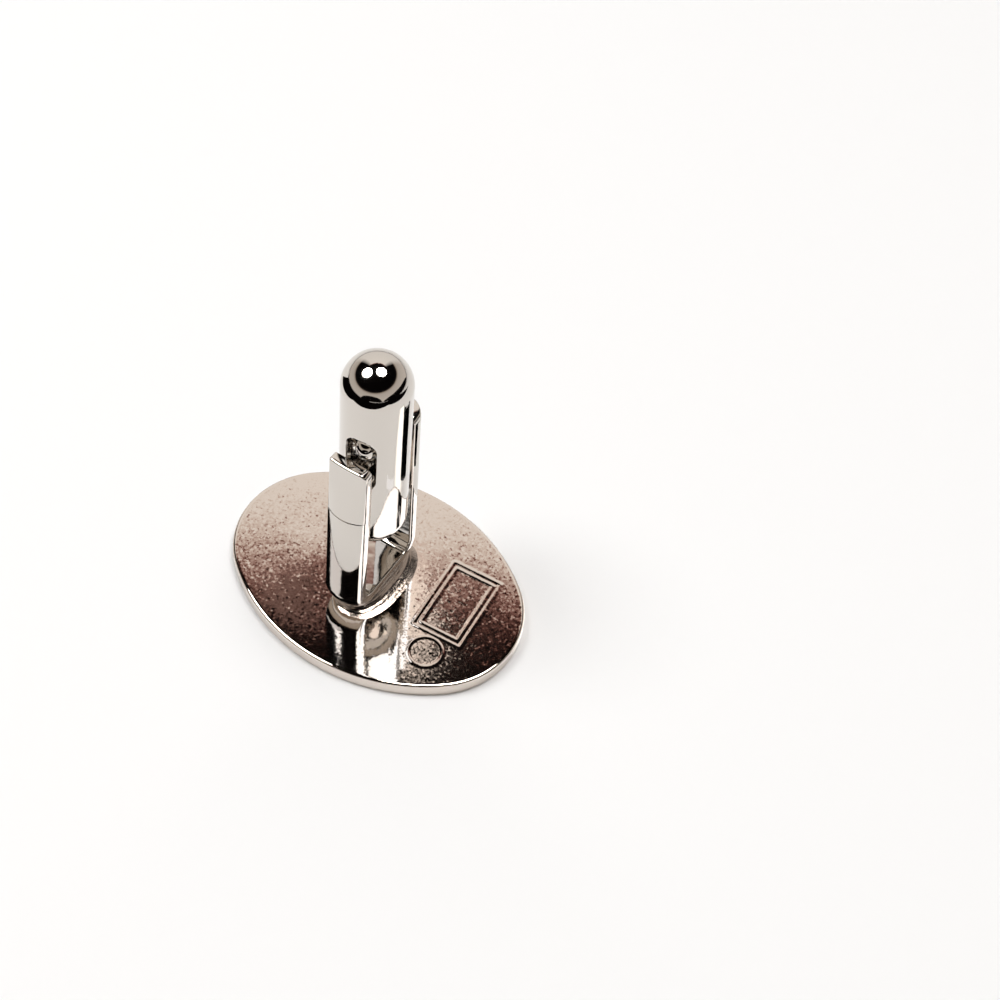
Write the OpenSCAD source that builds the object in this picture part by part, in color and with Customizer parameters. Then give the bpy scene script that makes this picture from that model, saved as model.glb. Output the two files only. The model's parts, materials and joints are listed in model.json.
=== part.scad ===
// Cufflink with a swivel bar, lying face down on its oval face.
// The origin is the centre of the face's front, +Z runs up the post, X is the oval's long axis.

/* [Face plate] */
// Length of the oval face, along X
face_length = 22.4; // [18:0.1:26]
// Width of the oval face, along Y
face_width = 16.3; // [14:0.1:18]
// Thickness of the face plate
face_thick = 1.2; // [1:0.1:2]
// Radius of the round ends of the oval
face_end_r = 6.4; // [5.5:0.1:6.8]
// Width of the bevel that breaks the plate's rim
face_bevel = 0.2; // [0.1:0.05:0.4]

/* [Fork] */
// Width of the strip that the fork is bent from
strip_w = 2.9; // [2.4:0.1:3.4]
// Thickness of the strip at its edges
strip_t = 0.75; // [0.6:0.05:0.8]
// How far the strip's rounded outer face stands out beyond its edges
strip_crown = 0.5; // [0.1:0.05:0.6]
// Outer width of the fork at its base, from arm to arm over the strip's edges
fork_w = 7; // [7:0.1:7.4]
// Height of the arms' tips above the plate's back
fork_h = 16.1; // [15.5:0.1:17]
// How far each tip leans in towards the bar
arm_lean = 0.3; // [0:0.05:0.3]
// Outer radius of the two bends at the floor, over the strip's edges
bend_r = 1.6; // [1.2:0.1:2]
// Place of the post along the oval, from the face's centre
post_x = -0.5; // [-1:0.1:1]
// Place of the post across the oval, from the face's centre
post_y = -0.2; // [-1:0.1:1]

/* [Solder foot] */
// Height of the fork's underside above the plate's back
foot_h = 0.55; // [0.4:0.05:0.8]
// Half width of the solder on the plate, across the strip
foot_half_x = 2.2; // [2.1:0.1:3]
// Half length of the solder on the plate, along the strip
foot_half_y = 3.9; // [3.6:0.1:4.4]
// How far the solder ran out to one side of the strip
foot_shift = 0.5; // [0:0.1:0.8]

/* [Swivel bar] */
// Radius of the bar and of its domed ends
bar_r = 2.35; // [2:0.05:2.35]
// Length of the bar from dome to dome
bar_length = 17.8; // [15:0.1:19]
// Radius of the pocket in each side of the bar
pocket_r = 1.15; // [0.9:0.05:1.2]
// Length of each pocket along the bar
pocket_length = 7; // [4:0.2:8]
// How far outside the bar's side each round-bottomed pocket is centred
pocket_out = 0.05; // [0.05:0.05:0.3]
// How far the pockets lie to one side of the pin's axis
pocket_shift = 0.3; // [0:0.05:0.3]

/* [Hinge pin] */
// Height of the pin above the plate's back
pin_h = 14.8; // [14:0.1:15]
// Radius of the pin
pin_r = 0.6; // [0.5:0.05:0.7]
// Radial clearance of the bar's bore on the pin
bore_gap = 0.05; // [0.02:0.01:0.1]
// Depth of the blind hole in each arm
blind_depth = 0.4; // [0.3:0.05:0.4]

/* [Hidden] */
$fn = 96;

// Radial and end clearance of the pin in its blind holes
seat_gap = 0.02;
end_gap = 0.05;
// How far one shape sinks into the next where they are one solid
sink = 0.1;
// Flats that make up the strip's rounded outer face
crown_flats = 6;
// The solder's shoulder: its inset from the solder's edge and its share of the foot's height
shoulder_inset = 0.7;
shoulder_rise = 0.4;
// Width of the solder that shows beside the strip where it ends
solder_lip = 0.1;
// Thickness and segments of the slabs that the solder is drawn with
slab_t = 0.01;
slab_segments = 32;

half_l = face_length / 2;
half_w = face_width / 2;
// The side arcs' centres lie on the Y axis, their radius joins the end arcs without a corner
end_x = half_l - face_end_r;
side_drop = (end_x * end_x - pow(half_w - face_end_r, 2)) / (2 * (half_w - face_end_r));
side_r = half_w + side_drop;
// Angle between the long axis and the line where an end arc meets a side arc
join_angle = atan2(side_drop, end_x);

fork_floor = face_thick + foot_h;
fork_tip = face_thick + fork_h;
bend_y = fork_w / 2 - bend_r;
bend_z = fork_floor + bend_r;
pin_z = face_thick + pin_h;
// The arms lean in by this angle, so each bend turns by as much more than a right angle
lean_angle = asin(arm_lean / (fork_tip - bend_z));
arm_length = (fork_tip - bend_z - bend_r * sin(lean_angle)) / cos(lean_angle);
inner_r = bend_r - strip_t;
// Inner face of an arm at the height of the pin
pin_run = (pin_z - bend_z - inner_r * sin(lean_angle)) / cos(lean_angle);
arm_inner_y = bend_y + inner_r * cos(lean_angle) - pin_run * sin(lean_angle);
// Circle that the strip's outer face is a part of
crown_r = (pow(strip_w / 2, 2) + pow(strip_crown, 2)) / (2 * strip_crown);
crown_angle = asin(strip_w / 2 / crown_r);
bar_reach = bar_length / 2 - bar_r;

// Half section of a round plate with a bevelled rim
module plate_section(r) {
    polygon([
        [0, 0],
        [r - face_bevel, 0],
        [r, face_bevel],
        [r, face_thick - face_bevel],
        [r - face_bevel, face_thick],
        [0, face_thick]
    ]);
}

// Wedge of a round plate, centred on the direction given
module plate_wedge(r, direction, half_angle) {
    rotate(direction - half_angle)
        rotate_extrude(angle = 2 * half_angle) plate_section(r);
}

module face_plate() {
    for (side = [0, 180]) rotate(side) {
        translate([end_x, 0]) plate_wedge(face_end_r, 0, join_angle);
        translate([0, -side_drop]) plate_wedge(side_r, 90, 90 - join_angle);
    }
}

// Oval slab that the solder's steps are drawn with
module solder_step(half_x, half_y, shift, z) {
    translate([shift, 0, z]) linear_extrude(slab_t)
        hull() for (side = [-1, 1])
            translate([0, side * (half_y - half_x)]) circle(half_x, $fn = slab_segments);
}

// Solder drawn up from the plate to the strip, steeper as it rises
module solder_foot() {
    shoulder_x = foot_half_x - shoulder_inset;
    shoulder_y = foot_half_y - shoulder_inset;
    shoulder_z = face_thick + foot_h * shoulder_rise;
    hull() {
        solder_step(foot_half_x, foot_half_y, foot_shift, face_thick - sink);
        solder_step(shoulder_x, shoulder_y, foot_shift / 2, shoulder_z);
    }
    hull() {
        solder_step(shoulder_x, shoulder_y, foot_shift / 2, shoulder_z - sink);
        solder_step(strip_w / 2 + solder_lip, fork_w / 2 - bend_r / 2, 0, fork_floor + sink);
    }
}

// Section of the strip: its flat inner face on the X axis, its rounded outer face above
module strip_section() {
    crown = [for (step = [0 : crown_flats]) crown_angle * (1 - 2 * step / crown_flats)];
    polygon(concat(
        [[-strip_w / 2, 0], [strip_w / 2, 0]],
        [for (angle = crown) [
            crown_r * sin(angle),
            strip_t + strip_crown - crown_r * (1 - cos(angle))
        ]]
    ));
}

module fork_floor_strip() {
    translate([0, -bend_y, fork_floor + strip_t]) rotate([-90, 0, 0])
        linear_extrude(2 * bend_y) strip_section();
}

// The strip bent up from the floor, turned about an axis along X
module fork_bend() {
    rotate([90, 0, 90]) rotate(-90) rotate_extrude(angle = 90 + lean_angle)
        translate([inner_r, 0]) rotate(-90) strip_section();
}

module fork_arm() {
    rotate([lean_angle, 0, 0]) translate([0, inner_r, 0])
        linear_extrude(arm_length) strip_section();
}

module fork() {
    fork_floor_strip();
    for (side = [0, 180]) rotate(side) translate([0, bend_y, bend_z]) {
        fork_bend();
        fork_arm();
    }
}

// Round rod along Y through the hinge, the same length to both sides
module hinge_rod(r, half_length) {
    translate([0, half_length, pin_z]) rotate([90, 0, 0])
        cylinder(h = 2 * half_length, r = r);
}

module face_and_fork() {
    color("silver") {
        face_plate();
        translate([post_x, post_y]) {
            solder_foot();
            difference() {
                fork();
                hinge_rod(pin_r + seat_gap, arm_inner_y + blind_depth);
            }
        }
    }
}

module hinge_pin() {
    color("gray") translate([post_x, post_y])
        hinge_rod(pin_r, arm_inner_y + blind_depth - end_gap);
}

// Round bar with domed ends, upright and centred on its middle
module domed_bar(r, reach) {
    translate([0, 0, -reach]) cylinder(h = 2 * reach, r = r);
    for (end = [-1, 1]) translate([0, 0, end * reach]) sphere(r);
}

module swivel_bar() {
    color("gainsboro") translate([post_x, post_y]) difference() {
        translate([0, 0, pin_z]) domed_bar(bar_r, bar_reach);
        for (side = [-1, 1]) translate([pocket_shift, side * (bar_r + pocket_out), pin_z])
            domed_bar(pocket_r, pocket_length / 2 - pocket_r);
        hinge_rod(pin_r + bore_gap, bar_r);
    }
}

face_and_fork();
hinge_pin();
swivel_bar();
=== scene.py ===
# Cufflink with a swivel bar, lying face down: its finish, the studio and the camera.
# Shapes are modelled in millimetres, then brought to metres when a piece is finished.
import json
import math

import bpy
from mathutils import Matrix, Vector, noise


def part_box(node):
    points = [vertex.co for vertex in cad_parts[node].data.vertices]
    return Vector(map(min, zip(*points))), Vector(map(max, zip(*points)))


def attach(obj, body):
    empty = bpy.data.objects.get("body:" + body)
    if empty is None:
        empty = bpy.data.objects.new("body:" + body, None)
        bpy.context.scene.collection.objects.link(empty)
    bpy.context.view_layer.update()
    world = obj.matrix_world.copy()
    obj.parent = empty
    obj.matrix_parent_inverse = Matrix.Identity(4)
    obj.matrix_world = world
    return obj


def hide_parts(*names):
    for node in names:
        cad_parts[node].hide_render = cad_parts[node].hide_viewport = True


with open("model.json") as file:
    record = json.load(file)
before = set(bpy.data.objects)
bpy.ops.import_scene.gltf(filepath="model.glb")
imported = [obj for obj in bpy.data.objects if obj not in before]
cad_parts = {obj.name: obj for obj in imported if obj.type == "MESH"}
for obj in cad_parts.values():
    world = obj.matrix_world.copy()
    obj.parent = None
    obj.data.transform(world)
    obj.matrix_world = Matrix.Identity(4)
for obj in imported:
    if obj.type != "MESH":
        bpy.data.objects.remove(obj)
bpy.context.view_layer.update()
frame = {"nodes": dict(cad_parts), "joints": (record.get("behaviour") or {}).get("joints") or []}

MM = 0.001

# Sizes read from the frame, in millimetres
face_low, face_high = [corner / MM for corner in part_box("face_and_fork")]
bar_low, bar_high = [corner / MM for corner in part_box("swivel_bar")]
hinge = Vector(frame["joints"][0]["pos_m"]) / MM

# Vertices nearer to each other than this are merged
MERGE = 0.0005


# Modelling helpers

def clear_selection():
    if bpy.context.object and bpy.context.object.mode != "OBJECT":
        bpy.ops.object.mode_set(mode="OBJECT")
    bpy.ops.object.select_all(action="DESELECT")


def make_active(piece):
    """Selects one piece alone."""
    clear_selection()
    piece.select_set(True)
    bpy.context.view_layer.objects.active = piece


def start_piece(name):
    """Names the primitive that was just added."""
    piece = bpy.context.object
    piece.name = name
    piece.data.name = name
    return piece


def pick(piece, test):
    """Enters edit mode with the vertices that pass the test selected."""
    bpy.ops.object.mode_set(mode="EDIT")
    bpy.ops.mesh.select_mode(type="VERT")
    bpy.ops.mesh.select_all(action="DESELECT")
    bpy.ops.object.mode_set(mode="OBJECT")
    for vertex in piece.data.vertices:
        vertex.select = test(vertex.co)
    bpy.ops.object.mode_set(mode="EDIT")


def pick_all(piece):
    pick(piece, lambda co: True)


def pick_edges(piece, test):
    """Enters edit mode with the edges selected whose two ends pass the test."""
    bpy.ops.object.mode_set(mode="EDIT")
    bpy.ops.mesh.select_mode(type="EDGE")
    bpy.ops.mesh.select_all(action="DESELECT")
    bpy.ops.object.mode_set(mode="OBJECT")
    for edge in piece.data.edges:
        ends = [piece.data.vertices[i].co for i in edge.vertices]
        edge.select = test(*ends)
    bpy.ops.object.mode_set(mode="EDIT")


def cut_across(direction, places):
    """Cuts the piece in edit mode by planes across one direction."""
    for place in places:
        bpy.ops.mesh.select_all(action="SELECT")
        point = [place * axis for axis in direction]
        bpy.ops.mesh.bisect(plane_co=point, plane_no=direction)


def reshape(piece, place):
    """Moves each vertex of a piece to place(x, y, z)."""
    bpy.ops.object.mode_set(mode="OBJECT")
    for vertex in piece.data.vertices:
        vertex.co = place(*vertex.co)
    piece.data.update()


def close_up(piece):
    """Merges doubles and turns all faces outwards."""
    pick_all(piece)
    bpy.ops.mesh.remove_doubles(threshold=MERGE)
    bpy.ops.mesh.normals_make_consistent(inside=False)
    bpy.ops.object.mode_set(mode="OBJECT")


def combine(piece, other, operation):
    """Cuts the other piece away (DIFFERENCE) or makes the two one solid (UNION)."""
    make_active(piece)
    step = piece.modifiers.new("combine", "BOOLEAN")
    step.operation = operation
    step.solver = "EXACT"
    step.object = other
    bpy.ops.object.modifier_apply(modifier="combine")
    bpy.data.objects.remove(other)


def finish_piece(piece, body, node, material, smooth_angle):
    """Brings a piece from millimetres to metres and hands it to its body."""
    make_active(piece)
    piece.scale = (MM, MM, MM)
    piece.location = (0, 0, 0)
    bpy.ops.object.transform_apply(location=True, rotation=True, scale=True)
    bpy.ops.object.shade_smooth_by_angle(angle=math.radians(smooth_angle))
    piece.data.materials.clear()
    piece.data.materials.append(material)
    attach(piece, body)
    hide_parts(node)


def limit(value):
    """The value, kept between 0 and 1."""
    return min(1.0, max(0.0, value))


def bumps(x, y, per_mm, layer, high):
    """Smooth unevenness at a place: bumps per millimetre, layer of the noise and height."""
    return noise.noise(Vector((x * per_mm, y * per_mm, layer))) * high


# Face plate

FACE_HALF_L = (face_high.x - face_low.x) / 2
FACE_HALF_W = (face_high.y - face_low.y) / 2
FACE_END_R = 6.4
FACE_THICK = 1.2
FACE_EDGE_R = 0.2
# Steps of its mesh: round the oval, round each half of the rim, and from the rim to the middle
PLATE_AROUND = 560
RIM_STEPS = 6
PLATE_RINGS = 96
# Unevenness of the stamped plate and its coarse skin: bumps per millimetre, layer and height
SLOW_WAVE = (0.18, 3.1, 0.015)
COARSE_SKIN = (1.4, 7.7, 0.001)
# How fast the waves and the marks rise from nothing at the rim, per share of the way to the middle
WAVE_RISE = 4
MARK_RISE = 12

# Raised marks on the plate's back: a plain double frame and a plain ring
FRAME_CENTRE = (5.94, 1.2)
FRAME_HALF = (1.9, 3.05)
FRAME_TURN = math.radians(3.8)
FRAME_INNER = 0.42
RING_CENTRE = (6.25, -3.36)
RING_R = 1.2
MARK_HALF = 0.075
MARK_HIGH = 0.012


def oval_arcs():
    """Centre, radius, first and last angle of the four arcs of the oval."""
    end_x = FACE_HALF_L - FACE_END_R
    short = FACE_HALF_W - FACE_END_R
    drop = (end_x ** 2 - short ** 2) / (2 * short)
    side_r = FACE_HALF_W + drop
    join = math.atan2(drop, end_x)
    return [
        ((end_x, 0), FACE_END_R, -join, join),
        ((0, -drop), side_r, join, math.pi - join),
        ((-end_x, 0), FACE_END_R, math.pi - join, math.pi + join),
        ((0, drop), side_r, math.pi + join, 2 * math.pi - join),
    ]


OVAL = oval_arcs()
OVAL_LENGTH = sum(radius * (last - first) for _, radius, first, last in OVAL)


def oval_point(share):
    """Point and outward direction at a share of the way round the oval."""
    run = (share % 1.0) * OVAL_LENGTH
    for centre, radius, first, last in OVAL:
        arc = radius * (last - first)
        if run <= arc:
            break
        run -= arc
    angle = first + run / radius
    out = Vector((math.cos(angle), math.sin(angle)))
    return Vector(centre) + radius * out, out


def frame_distance(x, y):
    """Distance from a point to the nearer line of the double frame."""
    dx = x - FRAME_CENTRE[0]
    dy = y - FRAME_CENTRE[1]
    across = abs(dx * math.cos(FRAME_TURN) + dy * math.sin(FRAME_TURN))
    along = abs(dy * math.cos(FRAME_TURN) - dx * math.sin(FRAME_TURN))
    gaps = []
    for inset in (0, FRAME_INNER):
        past_side = across - (FRAME_HALF[0] - inset)
        past_end = along - (FRAME_HALF[1] - inset)
        if past_side > 0 and past_end > 0:
            gaps.append(math.hypot(past_side, past_end))
        else:
            gaps.append(abs(max(past_side, past_end)))
    return min(gaps)


def mark_height(x, y):
    """Height of the raised lines above the plate's back."""
    ring = abs(math.hypot(x - RING_CENTRE[0], y - RING_CENTRE[1]) - RING_R)
    near = min(frame_distance(x, y), ring) / MARK_HALF
    return MARK_HIGH * math.exp(-near * near)


def plate_profile():
    """Rows from the front's middle round the rim to the back's middle.

    Each row is how far it lies inside the outline, its share of the way to the middle, and its height.
    """
    rows = [(FACE_EDGE_R, 1.0, 0.0), (FACE_EDGE_R, 0.5, 0.0)]
    angles = [math.pi / 2 * step / RIM_STEPS for step in range(RIM_STEPS + 1)]
    for angle in angles:
        rows.append((FACE_EDGE_R * (1 - math.sin(angle)), 0.0, FACE_EDGE_R * (1 - math.cos(angle))))
    for angle in angles:
        height = FACE_THICK - FACE_EDGE_R * (1 - math.sin(angle))
        rows.append((FACE_EDGE_R * (1 - math.cos(angle)), 0.0, height))
    for step in range(1, PLATE_RINGS + 1):
        rows.append((FACE_EDGE_R, step / PLATE_RINGS, FACE_THICK))
    return rows


def make_face_plate(material):
    """Oval plate: a grid rolled round the oval, with a rounded rim and raised marks on its back."""
    rows = plate_profile()
    clear_selection()
    bpy.ops.mesh.primitive_grid_add(x_subdivisions=PLATE_AROUND, y_subdivisions=len(rows) - 1, size=2)
    plate = start_piece("face_plate")
    around = [oval_point(i / PLATE_AROUND) for i in range(PLATE_AROUND)]

    def place(x, y, z):
        column = round((x + 1) / 2 * PLATE_AROUND) % PLATE_AROUND
        inset, share, height = rows[round((y + 1) / 2 * (len(rows) - 1))]
        edge, out = around[column]
        spot = (edge - out * inset) * (1 - share)
        if share > 0 and height > 0:
            height += limit(share * MARK_RISE) * mark_height(*spot)
            wave = bumps(*spot, *SLOW_WAVE) + bumps(*spot, *COARSE_SKIN)
            height += limit(share * WAVE_RISE) * wave
        return Vector((spot.x, spot.y, height))

    reshape(plate, place)
    close_up(plate)
    finish_piece(plate, "face", "face_and_fork", material, smooth_angle=50)


# Fork

STRIP_W = 2.9
STRIP_T = 0.75
STRIP_CROWN = 0.5
FORK_W = 7.0
FORK_TIP = face_high.z
ARM_LEAN = 0.3
BEND_R = 1.6
FOOT_H = 0.55
FORK_FLOOR = FACE_THICK + FOOT_H
BEND_Y = FORK_W / 2 - BEND_R
BEND_Z = FORK_FLOOR + BEND_R
LEAN_ANGLE = math.asin(ARM_LEAN / (FORK_TIP - BEND_Z))
BEND_ANGLE = math.pi / 2 + LEAN_ANGLE
INNER_R = BEND_R - STRIP_T
CROWN_R = ((STRIP_W / 2) ** 2 + STRIP_CROWN ** 2) / (2 * STRIP_CROWN)
# Lengths along the strip: round a bend, up the straight of an arm, and from the middle to a tip
BEND_RUN = BEND_R * BEND_ANGLE
ARM_RUN = (FORK_TIP - BEND_Z - BEND_R * math.sin(LEAN_ANGLE)) / math.cos(LEAN_ANGLE)
STRIP_HALF = BEND_Y + BEND_RUN + ARM_RUN
# Rounds of the strip's edges, and of its tips' corners on the left and on the right
OUTER_ROUND = 0.12
INNER_ROUND = 0.07
TIP_CORNERS = (0.15, 0.45)
# The front arm was pressed nearly flat above a shallow ledge, at this length up its straight
LEDGE_RUN = 8.85
LEDGE_DEPTH = 0.04
LEDGE_FADE = 0.06
FLAT_CROWN = 0.2
FLAT_FADE = 4.0
# The rear arm's outer face is more rounded, and its tip spread outwards when the pin was pressed in
REAR_CROWN = 1.35
REAR_FADE = 2.0
TIP_SWELL = 0.25
SWELL_HEIGHT = 2.5
# Lengths that half the floor, a bend and an arm are cut into, the cuts at the ledge as shares of its
# fade, and the cuts of half the width
FLOOR_CUTS = 6
BEND_CUTS = 20
ARM_CUTS = 24
LEDGE_CUTS = (-0.5, 0, 0.35, 0.65, 1, 1.5)
WIDTH_CUTS = 10


def crown(x):
    """How far the strip's rounded outer face stands out beyond its edges."""
    return math.sqrt(CROWN_R ** 2 - min(abs(x), STRIP_W / 2) ** 2) - (CROWN_R - STRIP_CROWN)


def fork_place(x, depth, run):
    """Bends the straight strip to the fork. depth is 0 on its inner face, 1 on its outer face."""
    side = -1 if run < 0 else 1
    along = abs(run)
    outer = limit(depth)
    rise = crown(x) * outer
    high = along - BEND_Y - BEND_RUN
    if high > 0 and side < 0:
        rise *= 1 - (1 - FLAT_CROWN) * limit((high - LEDGE_RUN) / FLAT_FADE)
        rise -= LEDGE_DEPTH * limit((high - LEDGE_RUN) / LEDGE_FADE) * outer
    if high > 0 and side > 0:
        rise *= 1 + (REAR_CROWN - 1) * limit(high / REAR_FADE)
        upper = limit(1 - (ARM_RUN - high) / SWELL_HEIGHT)
        rise += TIP_SWELL * upper * upper * crown(x) / STRIP_CROWN * outer
    away = depth * STRIP_T + rise
    if along <= BEND_Y:
        return Vector((x, side * along, FORK_FLOOR + STRIP_T - away))
    angle = min(BEND_ANGLE, (along - BEND_Y) / BEND_R)
    radius = INNER_R + away
    y = BEND_Y + radius * math.sin(angle)
    z = BEND_Z - radius * math.cos(angle)
    if high > 0:
        y -= high * math.sin(LEAN_ANGLE)
        z += high * math.cos(LEAN_ANGLE)
    return Vector((x, side * y, z))


def strip_cuts():
    """Places along the strip where it is cut into short lengths, closer at the bends and the ledge."""
    cuts = [BEND_Y * step / FLOOR_CUTS for step in range(FLOOR_CUTS + 1)]
    cuts += [BEND_Y + BEND_RUN * step / BEND_CUTS for step in range(1, BEND_CUTS + 1)]
    cuts += [BEND_Y + BEND_RUN + ARM_RUN * step / ARM_CUTS for step in range(1, ARM_CUTS)]
    cuts += [BEND_Y + BEND_RUN + LEDGE_RUN + LEDGE_FADE * share for share in LEDGE_CUTS]
    return sorted(set([round(cut, 4) for cut in cuts] + [round(-cut, 4) for cut in cuts]))


def make_fork(material):
    """Strip with rounded edges, cut into short lengths and bent to a U."""
    clear_selection()
    bpy.ops.mesh.primitive_cube_add(size=1)
    fork = start_piece("fork")
    # The thickness is 1 at first, from the inner face at 0 to the outer face, so that its edges stand out
    reshape(fork, lambda x, y, z: Vector((x * STRIP_W, y + 0.5, z * 2 * STRIP_HALF)))
    near_side = STRIP_W * 0.49
    for side, corner in zip((-1, 1), TIP_CORNERS):
        pick_edges(fork, lambda a, b: abs(a.y - b.y) > 0.5 and side * a.x > near_side)
        bpy.ops.mesh.bevel(offset=corner, segments=6, affect="EDGES")
    reshape(fork, lambda x, y, z: Vector((x, y * STRIP_T, z)))
    pick_edges(fork, lambda a, b: min(a.y, b.y) > STRIP_T / 2)
    bpy.ops.mesh.bevel(offset=OUTER_ROUND, segments=5, affect="EDGES")
    pick_edges(fork, lambda a, b: max(a.y, b.y) < MERGE)
    bpy.ops.mesh.bevel(offset=INNER_ROUND, segments=3, affect="EDGES")
    bpy.ops.mesh.select_mode(type="VERT")
    cut_across((0, 0, 1), strip_cuts())
    cut_across((1, 0, 0), [STRIP_W / 2 * step / WIDTH_CUTS for step in range(1 - WIDTH_CUTS, WIDTH_CUTS)])
    reshape(fork, lambda x, y, z: fork_place(x, y / STRIP_T, z))
    close_up(fork)
    post = Vector((hinge.x, hinge.y, 0))
    reshape(fork, lambda x, y, z: Vector((x, y, z)) + post)
    finish_piece(fork, "face", "face_and_fork", material, smooth_angle=40)


# Solder foot: half width, half length, shift to the side and height, from the plate up to the strip

FOOT_RINGS = [
    (2.3, 3.85, 0.55, -0.1),
    (2.27, 3.82, 0.55, -0.01),
    (2.12, 3.7, 0.47, 0.04),
    (1.98, 3.6, 0.4, 0.1),
    (1.85, 3.5, 0.3, 0.17),
    (1.76, 3.42, 0.22, 0.26),
    (1.68, 3.34, 0.14, 0.37),
    (1.62, 3.27, 0.08, 0.5),
    (1.57, 3.2, 0.04, 0.62),
    (1.52, 3.12, 0.02, 0.74),
    (1.47, 3.05, 0.0, 0.84),
    (1.38, 2.95, 0.0, 0.9),
]
# Steps of its mesh: round it, and from one ring of the table to the next
FOOT_AROUND = 160
FOOT_STEPS = 4
# Power of the sine and cosine that draw its outline, which is squarer than an oval below 1
FOOT_POWER = 0.85
# Wrinkled outline: its share of the size, how fast it changes with the height, and the scale and share
# of its two layers of noise
FOOT_WRINKLE = 0.02
WRINKLE_RISE = 2
WRINKLE_LAYERS = [(2.1, 0.7), (6.3, 0.3)]
# Ridges: height, how fast they change from ring to ring and round the foot, layer of the noise, and grit
RIDGE_HIGH = 0.015
RIDGE_PER_RING = 0.35
RIDGE_ROUND = 1.3
RIDGE_LAYER = 2.2
RIDGE_GRIT = (3, 6.1, 0.4)
# Fine lines along the rings: height and turn of their wave from ring to ring, then how far they wander,
# how fast that changes round the foot, and its layer of the noise
FLOW_HIGH = 0.006
FLOW_PER_RING = 0.9
FLOW_WANDER = 3
FLOW_ROUND = 2.2
FLOW_LAYER = 4.4
# How fast the ridges and lines rise from nothing on the plate, per millimetre of height
LIFT_RISE = 8


def foot_ring(index):
    """Ring of the table, or one between two of them."""
    low = min(index // FOOT_STEPS, len(FOOT_RINGS) - 2)
    share = index / FOOT_STEPS - low
    return [a + (b - a) * share for a, b in zip(FOOT_RINGS[low], FOOT_RINGS[low + 1])]


def foot_outline(value):
    """Sine or cosine of a direction, drawn out to the foot's squarer outline."""
    return math.copysign(abs(value) ** FOOT_POWER, value)


def foot_lift(ring, angle, x, y, height):
    """Ridges, and fine lines along the rings, where the solder ran and froze."""
    ridge = bumps(ring * RIDGE_PER_RING, angle * RIDGE_ROUND, 1, RIDGE_LAYER, 1) + bumps(x, y, *RIDGE_GRIT)
    wander = noise.noise(Vector((angle * FLOW_ROUND, FLOW_LAYER, 0))) * FLOW_WANDER
    line = math.sin(ring * FLOW_PER_RING + wander)
    return (RIDGE_HIGH * ridge + FLOW_HIGH * line) * limit(height * LIFT_RISE)


def make_solder_foot(material):
    """Drawn-up solder: rings extruded from the plate to the strip."""
    clear_selection()
    bpy.ops.mesh.primitive_circle_add(vertices=FOOT_AROUND, radius=1, fill_type="NGON")
    foot = start_piece("solder_foot")
    pick_all(foot)
    for _ in range((len(FOOT_RINGS) - 1) * FOOT_STEPS):
        bpy.ops.mesh.extrude_region_move(TRANSFORM_OT_translate={"value": (0, 0, 1)})

    def place(x, y, z):
        half_x, half_y, shift, height = foot_ring(round(z))
        angle = math.atan2(y, x)
        out = Vector((math.cos(angle), math.sin(angle), height * WRINKLE_RISE))
        grow = 1 + FOOT_WRINKLE * sum(noise.noise(out * scale) * share for scale, share in WRINKLE_LAYERS)
        spot_x = shift + half_x * grow * foot_outline(math.cos(angle))
        spot_y = half_y * grow * foot_outline(math.sin(angle))
        lift = foot_lift(z, angle, spot_x, spot_y, height)
        return Vector((hinge.x + spot_x, hinge.y + spot_y, FACE_THICK + height + lift))

    reshape(foot, place)
    close_up(foot)
    finish_piece(foot, "face", "face_and_fork", material, smooth_angle=60)


# Swivel bar

BAR_R = (bar_high.x - bar_low.x) / 2
BAR_REACH = (bar_high.z - bar_low.z) / 2 - BAR_R
BAR_MIDDLE = (bar_low + bar_high) / 2
BAR_AROUND = 256
# The count of rings is odd, so that no vertex lies between the two domes
BAR_RINGS = 129
# Half the count of cuts round the pockets, and how far these go beyond the pockets' ends
BAR_CUTS = 22
CUT_MARGIN = 0.3
PIN_R = 0.6
BORE_GAP = 0.05
BORE_AROUND = 48
# Pocket in each side of the bar: its ends' radius, their centres above and below the pin, its shift
POCKET_R = 1.02
POCKET_UP = 2.45
POCKET_DOWN = 0.6
POCKET_SHIFT = 0.3
POCKET_AROUND = 64
# Section of the pocket's round floor and of its rounded lip: first angle, turn and count of points.
# Outside the bar the cutter goes on by these widths beyond the pocket and these depths
FLOOR_ARC = (86, -6.7, 13)
LIP_ARC = (0, 14, 5)
LIP_R = 0.1
CUTTER_FLARE = [(0.16, -0.05), (0.3, -0.3)]
# Rounded end of the catch in each pocket: radius, how much longer it is, and its place in the pocket
CATCH_R = 0.75
CATCH_LONG = 1.15
CATCH_DEPTH = 0.84
CATCH_ACROSS = 0.35
CATCH_UP = 1.95
CATCH_AROUND = 64
CATCH_RINGS = 32


def make_domed_bar():
    """Ball whose two halves are drawn apart."""
    clear_selection()
    bpy.ops.mesh.primitive_uv_sphere_add(segments=BAR_AROUND, ring_count=BAR_RINGS, radius=BAR_R)
    bar = start_piece("swivel_bar_polished")
    for end in (-1, 1):
        pick(bar, lambda co: co.z * end > 0)
        bpy.ops.transform.translate(value=(0, 0, end * BAR_REACH))
    return bar


def arc_angles(first, turn, count):
    return [math.radians(first + turn * step) for step in range(count)]


def pocket_profile():
    """Distance from the pocket's middle line and depth under the bar's side, from its floor to its lip."""
    rows = [(POCKET_R * math.cos(angle), POCKET_R * math.sin(angle)) for angle in arc_angles(*FLOOR_ARC)]
    for angle in arc_angles(*LIP_ARC):
        rows.append((POCKET_R + LIP_R * (1 - math.cos(angle)), LIP_R * (1 - math.sin(angle))))
    return rows + [(POCKET_R + wider, depth) for wider, depth in CUTTER_FLARE]


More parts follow.
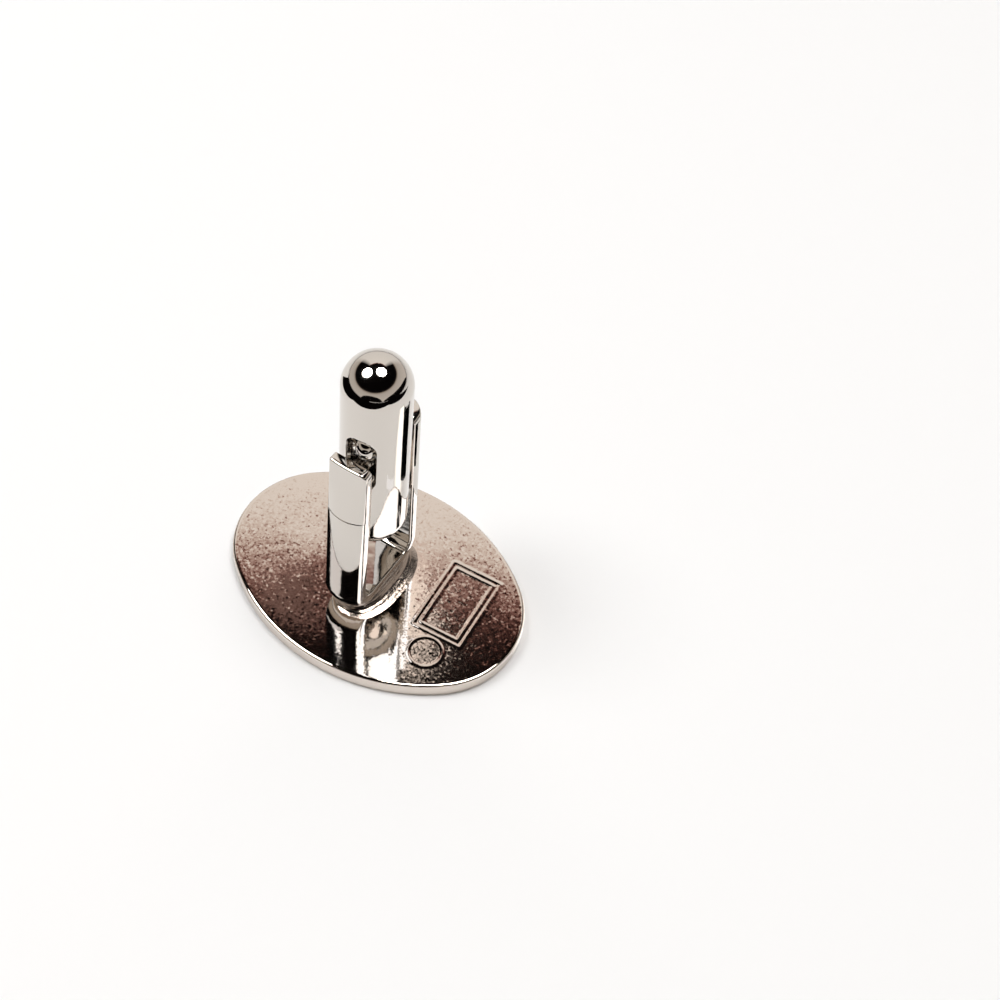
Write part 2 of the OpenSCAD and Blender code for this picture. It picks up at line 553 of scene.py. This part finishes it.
def make_pocket_cutter(side):
    """Cutter for one pocket: a disc extruded ring by ring, drawn out to a slot and wrapped on the bar."""
    rows = pocket_profile()
    clear_selection()
    bpy.ops.mesh.primitive_circle_add(vertices=POCKET_AROUND, radius=1, fill_type="NGON")
    cutter = start_piece("pocket_cutter")
    pick_all(cutter)
    for _ in range(1, len(rows)):
        bpy.ops.mesh.extrude_region_move(TRANSFORM_OT_translate={"value": (0, 0, 1)})
    # Turned by half a step, no vertex lies between the slot's two ends
    half_step = math.pi / POCKET_AROUND

    def place(x, y, z):
        away, depth = rows[round(z)]
        angle = math.atan2(y, x) + half_step
        across = POCKET_SHIFT + away * math.cos(angle)
        up = away * math.sin(angle)
        up += POCKET_UP if up > 0 else -POCKET_DOWN
        surface = math.sqrt(BAR_R ** 2 - min(abs(across), BAR_R) ** 2)
        return Vector((BAR_MIDDLE.x + across, BAR_MIDDLE.y + side * (surface - depth), hinge.z + up))

    reshape(cutter, place)
    close_up(cutter)
    return cutter


def make_catch(side):
    """Rounded end of the catch, a ball drawn out that lies in a pocket above the pin."""
    clear_selection()
    bpy.ops.mesh.primitive_uv_sphere_add(segments=CATCH_AROUND, ring_count=CATCH_RINGS, radius=1)
    catch = start_piece("catch")
    place = BAR_MIDDLE + Vector((CATCH_ACROSS, side * (BAR_R - CATCH_DEPTH), 0))
    place.z = hinge.z + CATCH_UP
    reshape(catch, lambda x, y, z: place + CATCH_R * Vector((x, y, z * CATCH_LONG)))
    return catch


def make_bore_cutter():
    """Cutter for the bore that the hinge pin runs in."""
    clear_selection()
    bpy.ops.mesh.primitive_cylinder_add(
        vertices=BORE_AROUND,
        radius=PIN_R + BORE_GAP,
        depth=4 * BAR_R,
        location=hinge,
        rotation=(math.pi / 2, 0, 0),
    )
    cutter = start_piece("bore_cutter")
    bpy.ops.object.transform_apply(location=True, rotation=True, scale=True)
    return cutter


def make_swivel_bar(material):
    """Bullet-shaped bar with a pocket and the catch's end at each side, and a bore for the pin."""
    bar = make_domed_bar()
    pick_all(bar)
    reach = POCKET_UP + POCKET_R + CUT_MARGIN
    cut_across((0, 0, 1), [reach * step / BAR_CUTS for step in range(-BAR_CUTS, BAR_CUTS + 1)])
    reshape(bar, lambda x, y, z: Vector((x, y, z)) + BAR_MIDDLE)
    for side in (-1, 1):
        combine(bar, make_pocket_cutter(side), "DIFFERENCE")
        combine(bar, make_catch(side), "UNION")
    combine(bar, make_bore_cutter(), "DIFFERENCE")
    finish_piece(bar, "bar", "swivel_bar", material, smooth_angle=40)


# Materials. Widths of the patterns in the finishes, in millimetres

SMEAR_WIDTH = 1.11
DIMPLE_WIDTH = 0.625
PIT_WIDTH = 0.2
PATCH_WIDTH = 0.385
LUMP_WIDTH = 0.25
DRAWING_WIDTH = 0.2
# The noise's colour runs from 0 to 1, so this makes it lean to all sides alike
NOISE_MIDDLE = (0.5, 0.5, 0.5)


def linear(hex_colour):
    """sRGB hex to the linear colour that shaders take."""
    out = []
    for place in (1, 3, 5):
        value = int(hex_colour[place:place + 2], 16) / 255
        out.append(value / 12.92 if value <= 0.04045 else ((value + 0.055) / 1.055) ** 2.4)
    return (*out, 1.0)


def add_node(tree, kind, settings=None, inputs=None):
    """Adds a node, sets its properties and its inputs. An input may be a value or another node's output."""
    node = tree.nodes.new(kind)
    for key, value in (settings or {}).items():
        setattr(node, key, value)
    for key, value in (inputs or {}).items():
        if isinstance(value, bpy.types.NodeSocket):
            tree.links.new(value, node.inputs[key])
        else:
            node.inputs[key].default_value = value
    return node


def new_material(name):
    material = bpy.data.materials.new(name)
    material.use_nodes = True
    tree = material.node_tree
    tree.nodes.clear()
    output = add_node(tree, "ShaderNodeOutputMaterial")
    return material, tree, output


def millimetres(tree):
    """Object coordinates in millimetres."""
    place = add_node(tree, "ShaderNodeTexCoord").outputs["Object"]
    return add_node(
        tree, "ShaderNodeVectorMath", {"operation": "SCALE"}, {0: place, "Scale": 1 / MM}
    ).outputs[0]


def polished_nickel():
    """Nickel plating, barrel polished: a warm grey mirror with faint softness in its reflections."""
    material, tree, output = new_material("nickel_plating_barrel_polished")
    place = millimetres(tree)
    smear = add_node(
        tree, "ShaderNodeTexNoise", {},
        {"Vector": place, "Scale": 1 / SMEAR_WIDTH, "Detail": 3.0, "Roughness": 0.6},
    )
    rough = add_node(
        tree, "ShaderNodeMapRange", {},
        {"Value": smear.outputs[0], "From Min": 0.3, "From Max": 0.7, "To Min": 0.03, "To Max": 0.07},
    )
    dimple = add_node(
        tree, "ShaderNodeTexNoise", {},
        {"Vector": place, "Scale": 1 / DIMPLE_WIDTH, "Detail": 1.0, "Roughness": 0.4},
    )
    bump = add_node(
        tree, "ShaderNodeBump", {}, {"Height": dimple.outputs[0], "Strength": 0.03, "Distance": 0.1 * MM}
    )
    shader = add_node(
        tree, "ShaderNodeBsdfPrincipled", {},
        {
            "Base Color": linear("#D2CCC5"),
            "Metallic": 1.0,
            "Roughness": rough.outputs[0],
            "Normal": bump.outputs[0],
        },
    )
    tree.links.new(shader.outputs[0], output.inputs[0])
    return material


def stamped_nickel():
    """Nickel plating over a stamped plate: satin, with fine pits that break up its reflections.

    The pits lean the surface to all sides alike. They are deeper in patches.
    """
    material, tree, output = new_material("nickel_plating_over_stamped_brass")
    place = millimetres(tree)
    pits = add_node(
        tree, "ShaderNodeTexNoise", {},
        {"Vector": place, "Scale": 1 / PIT_WIDTH, "Detail": 1.0, "Roughness": 0.6},
    )
    patches = add_node(
        tree, "ShaderNodeTexNoise", {},
        {"Vector": place, "Scale": 1 / PATCH_WIDTH, "Detail": 2.0, "Roughness": 0.6},
    )
    depth = add_node(
        tree, "ShaderNodeMapRange", {},
        {"Value": patches.outputs[0], "From Min": 0.42, "From Max": 0.68, "To Min": 0.014, "To Max": 0.078},
    )
    sides = add_node(
        tree, "ShaderNodeVectorMath", {"operation": "SUBTRACT"}, {0: pits.outputs[1], 1: NOISE_MIDDLE}
    )
    lean = add_node(
        tree, "ShaderNodeVectorMath", {"operation": "SCALE"}, {0: sides.outputs[0], "Scale": depth.outputs[0]}
    )
    level = add_node(tree, "ShaderNodeNewGeometry")
    leaning = add_node(
        tree, "ShaderNodeVectorMath", {"operation": "ADD"}, {0: level.outputs["Normal"], 1: lean.outputs[0]}
    )
    normal = add_node(tree, "ShaderNodeVectorMath", {"operation": "NORMALIZE"}, {0: leaning.outputs[0]})
    shader = add_node(
        tree, "ShaderNodeBsdfPrincipled", {},
        {
            "Base Color": linear("#D8CEC5"),
            "Metallic": 1.0,
            "Roughness": 0.052,
            "Normal": normal.outputs[0],
        },
    )
    tree.links.new(shader.outputs[0], output.inputs[0])
    return material


def solder_nickel_painted_shade():
    """Nickel plating over frozen solder: softer than the polished strip, and lumpy. Its colour is darker, as
    painted shade of the crease under the fork.
    """
    material, tree, output = new_material("nickel_over_solder_painted_shade")
    place = millimetres(tree)
    lumps = add_node(
        tree, "ShaderNodeTexNoise", {},
        {"Vector": place, "Scale": 1 / LUMP_WIDTH, "Detail": 3.0, "Roughness": 0.6},
    )
    bump = add_node(
        tree, "ShaderNodeBump", {}, {"Height": lumps.outputs[0], "Strength": 0.35, "Distance": 0.06 * MM}
    )
    shader = add_node(
        tree, "ShaderNodeBsdfPrincipled", {},
        {
            # Darker than the polished nickel: painted shade of the crease between the plate and the fork
            "Base Color": linear("#AC9F95"),
            "Metallic": 1.0,
            "Roughness": 0.2,
            "Normal": bump.outputs[0],
        },
    )
    tree.links.new(shader.outputs[0], output.inputs[0])
    return material


def drawn_steel():
    """Drawn steel rod: grey, a little dull and uneven."""
    material, tree, output = new_material("steel_rod_drawn")
    place = millimetres(tree)
    drawing = add_node(
        tree, "ShaderNodeTexNoise", {}, {"Vector": place, "Scale": 1 / DRAWING_WIDTH, "Detail": 2.0}
    )
    bump = add_node(
        tree, "ShaderNodeBump", {}, {"Height": drawing.outputs[0], "Strength": 0.2, "Distance": 0.03 * MM}
    )
    shader = add_node(
        tree, "ShaderNodeBsdfPrincipled", {},
        {
            "Base Color": linear("#C0BCB6"),
            "Metallic": 1.0,
            "Roughness": 0.12,
            "Normal": bump.outputs[0],
        },
    )
    tree.links.new(shader.outputs[0], output.inputs[0])
    return material


def finish_hinge_pin(material):
    """The pin is a plain rod that barely shows, so it keeps its CAD shape."""
    pin = frame["nodes"]["hinge_pin"]
    pin.data.materials.clear()
    pin.data.materials.append(material)


# Floor

FLOOR_SIZE = 20.0
PAPER_WHITE = "#F3F3F3"


def make_floor():
    clear_selection()
    bpy.ops.mesh.primitive_plane_add(size=FLOOR_SIZE, location=(0, 0, 0))
    floor = start_piece("floor")
    material, tree, output = new_material("white_paper")
    shader = add_node(tree, "ShaderNodeBsdfDiffuse", {}, {"Color": linear(PAPER_WHITE)})
    tree.links.new(shader.outputs[0], output.inputs[0])
    floor.data.materials.append(material)


# Camera, at the photo's angle. Its place is worked out from the photo's own measures, in pixels of 1000

PICTURE = 1000
FOCAL = 2000
PLATE_PIXEL = (377.9, 575.0)
PIXELS_PER_MM = 14.07
CAMERA_ELEVATION = math.radians(54.24)
CAMERA_YAW = math.radians(26.53)
CAMERA_ROLL = math.radians(-7.14)
SENSOR = 36.0
CLIP_START = 0.005
CLIP_END = 10


def make_camera():
    """The camera is placed so that the middle of the plate's back lies at PLATE_PIXEL."""
    turn = Matrix.Rotation(-CAMERA_YAW, 3, "Z")
    right = Vector((1, 0, 0))
    up = Vector((0, math.sin(CAMERA_ELEVATION), math.cos(CAMERA_ELEVATION)))
    back = Vector((0, -math.cos(CAMERA_ELEVATION), math.sin(CAMERA_ELEVATION)))
    tilt = Matrix((right, up, back))
    roll = Matrix.Rotation(CAMERA_ROLL, 3, "Z")
    view = (roll @ tilt @ turn).transposed()
    away = FOCAL / PIXELS_PER_MM
    off_x = (PLATE_PIXEL[0] - PICTURE / 2) / FOCAL * away
    off_y = -(PLATE_PIXEL[1] - PICTURE / 2) / FOCAL * away
    place = view @ Vector((-off_x, -off_y, away)) + Vector((0, 0, FACE_THICK))
    data = bpy.data.cameras.new("camera")
    data.sensor_width = SENSOR
    data.lens = FOCAL / PICTURE * SENSOR
    data.clip_start = CLIP_START
    data.clip_end = CLIP_END
    camera = bpy.data.objects.new("camera", data)
    bpy.context.scene.collection.objects.link(camera)
    camera.matrix_world = Matrix.Translation(place * MM) @ view.to_4x4()
    bpy.context.scene.camera = camera
    return camera


# Light. The cufflink mirrors all that stands round it, so the studio is built for its reflections.
# A thing may show in first reflections alone, or in reflections of reflections alone: the test of
# the ray's depth says which

FIRST = "LESS_THAN"
LATER = "GREATER_THAN"
DEPTH_LIMIT = 1.5
DARK = "#080606"
WARM_WHITE = "#FFFCF8"
WINDOW = "#F0F6FF"
CARD_AROUND = 64

# Round soft lamps: azimuth and elevation, distance and size in metres, power, shine of the lit front
LAMPS = [
    ("lamp_left", -155, 60.5, 0.6, 0.3, 1.8, 18),
    ("lamp_right", 54, 79.5, 0.6, 0.3, 1.8, 18),
]
# Oval sheet of bright paper on the table: centre, half sizes and turn, then how strongly its edge and
# its middle shine, and the share of its radius between them
PAPER_CENTRE = (14.2, 5.9, 0.4)
PAPER_HALF = (8.0, 4.4)
PAPER_TURN = 29
PAPER_SHINE = (0.95, 1.9)
PAPER_FADE = 0.45
# Flat cards just above the table: four corners, colour and strength
CARDS = [
    (
        "black_flag",
        [(10.0, 5.9, 0.5), (16.4, 10.2, 0.5), (6.0, 9.6, 0.5), (9.6, 16.6, 0.5)],
        "#000000",
        0.0,
    ),
    (
        "paper_glow",
        [(11.4, -4.2, 0.4), (11.5, 0.8, 0.4), (12.5, -4.6, 0.4), (12.6, 0.9, 0.4)],
        "#FCFCFF",
        1.25,
    ),
]
# Far oval lights: azimuth and elevation, half width in degrees of azimuth and half height in degrees,
# colour, strength, where they show, and the share of the radius over which they fade
FAR_GLOWS = [
    ("window_right", -10, 56, 40, 19, WINDOW, 3.2, LATER, 0.12),
    ("window_top", 46, 64, 42, 6, WINDOW, 3.2, LATER, 0.2),
    ("window_far", 67, 51, 17, 10, WINDOW, 3.2, LATER, 0.15),
    ("window_left", -126, 59.6, 22, 2.0, WINDOW, 3.0, LATER, 0.6),
    ("wall_left", -140, 53, 36, 5.5, WINDOW, 1.5, LATER, 0.15),
    ("wall_gap", 119.9, 58.0, 2.4, 2.8, "#FFF2E8", 1.3, FIRST, 0.7),
    ("wall_haze", 128.2, 57.5, 3.4, 1.2, "#765B54", 1.0, FIRST, 0.7),
]
GLOW_AWAY = 560
# Dark table round the sheet of paper. Each row is the direction that an edge of the paper faces,
# turned from the camera's, then its distance, the two ends of the edge, and where it shows
DARK_TABLE = [
    ("table_near", -30, 41, -500, 73, FIRST),
    ("table_right", 60, 73, -300, 70, None),
    ("table_left", -105, 38, -18, 300, None),
]
TABLE_END = 900
TABLE_HIGH = 0.2
# Dark things on the table's far side, in front of the walls: direction, half width and height
DARK_THINGS = [
    ("camera_stand", -15, 340, 190),
    ("dark_chair", 66, 640, 165),
]
THINGS_AWAY = 600

# Elevation and colour of the walls behind the camera and behind the cufflink
FRONT_WALL = [
    (0, "#D8D0C8"),
    (22, "#C8C0B8"),
    (26, "#B0A498"),
    (29, "#1A1412"),
    (34, DARK),
    (90, DARK),
]
REAR_WALL = [
    (0, "#F2EEEA"),
    (45, "#FFFAF4"),
    (54.8, "#FFF8F2"),
    (55.8, "#EADACE"),
    (56.7, "#9C6C64"),
    (57.3, "#5A362E"),
    (58.0, "#22120F"),
    (58.9, "#0A0605"),
    (90, "#060404"),
]
# Both walls' top edges lie higher on the right of the camera, by these angles
FRONT_SLANT = 6
REAR_SLANT = 2
# Cosines of the angle to the camera's direction between which the rear wall turns into the front one
WALLS_MEET = (-0.88, -0.74)


def direction(azimuth, elevation):
    a = math.radians(azimuth)
    e = math.radians(elevation)
    return Vector((math.cos(e) * math.cos(a), math.cos(e) * math.sin(a), math.sin(e)))


def camera_azimuth(camera):
    place = camera.matrix_world.translation
    return math.degrees(math.atan2(place.y, place.x))


def turn_inwards(aim):
    """Turn of a lamp or card that stands in this direction and faces the cufflink."""
    return aim.to_track_quat("Z", "Y").to_euler()


def reflections_only(item):
    item.visible_camera = False
    item.visible_diffuse = False
    item.visible_shadow = False
    item.visible_transmission = False


def fade_inwards(tree, width, edge, middle):
    """Runs smoothly from one value at a round card's edge to another nearer its middle."""
    place = add_node(tree, "ShaderNodeTexCoord").outputs["Object"]
    spread = add_node(tree, "ShaderNodeTexGradient", {"gradient_type": "SPHERICAL"}, {0: place})
    return add_node(
        tree, "ShaderNodeMapRange", {"interpolation_type": "SMOOTHSTEP"},
        {"Value": spread.outputs[1], "From Min": 0.0, "From Max": width, "To Min": edge, "To Max": middle},
    ).outputs[0]


def glow_material(name, colour, strength):
    """Evenly lit surface."""
    material, tree, output = new_material(name)
    shine = add_node(tree, "ShaderNodeEmission", {}, {"Color": linear(colour), "Strength": strength})
    tree.links.new(shine.outputs[0], output.inputs[0])
    return material


def lit_paper():
    """Paper lit by a lamp, brighter in its middle."""
    material, tree, output = new_material("bright_paper")
    shine = fade_inwards(tree, PAPER_FADE, *PAPER_SHINE)
    shader = add_node(tree, "ShaderNodeEmission", {}, {"Color": linear(WARM_WHITE), "Strength": shine})
    tree.links.new(shader.outputs[0], output.inputs[0])
    return material


def bounce_material(name, colour, strength, test, fade=None):
    """Lit surface that shows in first reflections alone or in later ones alone, and is clear otherwise."""
    material, tree, output = new_material(name)
    depth = add_node(tree, "ShaderNodeLightPath").outputs["Ray Depth"]
    share = add_node(tree, "ShaderNodeMath", {"operation": test}, {0: depth, 1: DEPTH_LIMIT})
    if fade:
        inner = fade_inwards(tree, fade, 0.0, 1.0)
        share = add_node(tree, "ShaderNodeMath", {"operation": "MULTIPLY"}, {0: share.outputs[0], 1: inner})
    shine = add_node(tree, "ShaderNodeEmission", {}, {"Color": linear(colour), "Strength": strength})
    clear = add_node(tree, "ShaderNodeBsdfTransparent")
    shader = add_node(
        tree, "ShaderNodeMixShader", {}, {0: share.outputs[0], 1: clear.outputs[0], 2: shine.outputs[0]}
    )
    tree.links.new(shader.outputs[0], output.inputs[0])
    return material


def add_lamp(name, azimuth, elevation, away, size, power):
    """Lamp aimed at the cufflink. Reflections show its lit front instead, which is a card."""
    data = bpy.data.lights.new(name, "AREA")
    data.shape = "DISK"
    data.size = size
    data.energy = power
    lamp = bpy.data.objects.new(name, data)
    bpy.context.scene.collection.objects.link(lamp)
    aim = direction(azimuth, elevation)
    lamp.location = aim * away
    lamp.rotation_euler = turn_inwards(aim)
    lamp.visible_glossy = False


def add_round_card(name, place, turn, half_width, half_height, material):
    """Oval card, seen in reflections only. Its size is left unapplied for materials that fade."""
    clear_selection()
    bpy.ops.mesh.primitive_circle_add(
        vertices=CARD_AROUND, radius=1, fill_type="NGON", location=place, rotation=turn
    )
    card = start_piece(name)
    card.scale = (half_width, half_height, 1)
    card.data.materials.append(material)
    reflections_only(card)


def add_card(name, corners, material):
    """Flat card, seen in reflections only, through four corners in millimetres."""
    clear_selection()
    bpy.ops.mesh.primitive_plane_add(size=2)
    card = start_piece(name)
    reshape(card, lambda x, y, z: Vector(corners[(0 if x < 0 else 1) + (0 if y < 0 else 2)]) * MM)
    card.data.materials.append(material)
    reflections_only(card)


def make_lamps():
    for name, azimuth, elevation, away, size, power, shine in LAMPS:
        add_lamp(name, azimuth, elevation, away, size, power)
        front = bounce_material(name + "_front", WARM_WHITE, shine, FIRST)
        aim = direction(azimuth, elevation)
        add_round_card(name + "_front", aim * away, turn_inwards(aim), size / 2, size / 2, front)


def make_cards():
    half_sizes = [half * MM for half in PAPER_HALF]
    turn = (0, 0, math.radians(PAPER_TURN))
    add_round_card("bright_paper", Vector(PAPER_CENTRE) * MM, turn, *half_sizes, lit_paper())
    for name, corners, colour, strength in CARDS:
        add_card(name, corners, glow_material(name, colour, strength))


def make_glows():
    for name, azimuth, elevation, half_width, half_height, colour, strength, test, fade in FAR_GLOWS:
        aim = direction(azimuth, elevation)
        wide = math.tan(math.radians(half_width)) * math.cos(math.radians(elevation)) * GLOW_AWAY * MM
        high = math.tan(math.radians(half_height)) * GLOW_AWAY * MM
        material = bounce_material(name, colour, strength, test, fade)
        add_round_card(name, aim * GLOW_AWAY * MM, turn_inwards(aim), wide, high, material)


def make_table(azimuth):
    """Dark table beyond the paper's edges, and the dark things behind it."""
    for name, turn, away, first, last, test in DARK_TABLE:
        out = direction(azimuth + turn, 0)
        along = Vector((-out.y, out.x, 0))
        corners = []
        for distance in (away, TABLE_END):
            for run in (first, last):
                corners.append(out * distance + along * run + Vector((0, 0, TABLE_HIGH)))
        material = bounce_material(name, DARK, 1.0, test) if test else glow_material(name, DARK, 1.0)
        add_card(name, corners, material)
    for name, turn, half_width, height in DARK_THINGS:
        upright = (math.pi / 2, 0, math.radians(azimuth + turn + 90))
        place = direction(azimuth + turn, 0) * THINGS_AWAY * MM
        material = bounce_material(name, DARK, 1.0, FIRST)
        add_round_card(name, place, upright, half_width * MM, height * MM, material)


def wall_colour(tree, height, rows):
    """Colour by elevation above the table, from rows of degrees and sRGB hex."""
    share = add_node(
        tree, "ShaderNodeMapRange", {},
        {"Value": height.outputs[0], "From Min": 0.0, "From Max": math.pi / 2, "To Min": 0.0, "To Max": 1.0},
    )
    node = add_node(tree, "ShaderNodeValToRGB", {}, {0: share.outputs[0]})
    ramp = node.color_ramp
    while len(ramp.elements) > 1:
        ramp.elements.remove(ramp.elements[-1])
    for index, (degrees, colour) in enumerate(rows):
        if index == 0:
            element = ramp.elements[0]
            element.position = degrees / 90
        else:
            element = ramp.elements.new(degrees / 90)
        element.color = linear(colour)
    return node


def make_world(azimuth):
    """Light walls round the table and a dark room above them, which begins lower on the camera's side."""
    world = bpy.data.worlds.new("studio")
    world.use_nodes = True
    bpy.context.scene.world = world
    tree = world.node_tree
    tree.nodes.clear()
    output = add_node(tree, "ShaderNodeOutputWorld")
    ray = add_node(tree, "ShaderNodeTexCoord").outputs["Generated"]
    split = add_node(tree, "ShaderNodeSeparateXYZ", {}, {0: ray})
    height = add_node(tree, "ShaderNodeMath", {"operation": "ARCSINE"}, {0: split.outputs[2]})
    flat = add_node(tree, "ShaderNodeVectorMath", {"operation": "MULTIPLY"}, {0: ray, 1: (1, 1, 0)})
    level = add_node(tree, "ShaderNodeVectorMath", {"operation": "NORMALIZE"}, {0: flat.outputs[0]})
    to_camera = direction(azimuth, 0)
    to_right = direction(azimuth + 90, 0)
    facing = add_node(
        tree, "ShaderNodeVectorMath", {"operation": "DOT_PRODUCT"}, {0: level.outputs[0], 1: to_camera}
    )
    sideways = add_node(
        tree, "ShaderNodeVectorMath", {"operation": "DOT_PRODUCT"}, {0: level.outputs[0], 1: to_right}
    )
    walls = []
    for rows, slant in ((REAR_WALL, REAR_SLANT), (FRONT_WALL, FRONT_SLANT)):
        slanted = add_node(
            tree, "ShaderNodeMath", {"operation": "MULTIPLY_ADD"},
            {0: sideways.outputs[1], 1: -math.radians(slant), 2: height.outputs[0]},
        )
        walls.append(wall_colour(tree, slanted, rows).outputs[0])
    near = add_node(
        tree, "ShaderNodeMapRange", {},
        {
            "Value": facing.outputs[1],
            "From Min": WALLS_MEET[0],
            "From Max": WALLS_MEET[1],
            "To Min": 0.0,
            "To Max": 1.0,
        },
    )
    mixed = add_node(
        tree, "ShaderNodeMix", {"data_type": "RGBA"},
        {"Factor": near.outputs[0], "A": walls[0], "B": walls[1]},
    )
    shine = add_node(tree, "ShaderNodeBackground", {}, {"Color": mixed.outputs["Result"], "Strength": 1.0})
    tree.links.new(shine.outputs[0], output.inputs[0])


polished = polished_nickel()
make_face_plate(stamped_nickel())
make_fork(polished)
make_solder_foot(solder_nickel_painted_shade())
make_swivel_bar(polished)
finish_hinge_pin(drawn_steel())

make_floor()
camera = make_camera()
make_lamps()
make_cards()
make_glows()
make_table(camera_azimuth(camera))
make_world(camera_azimuth(camera))
bpy.context.scene.view_settings.view_transform = "Standard"
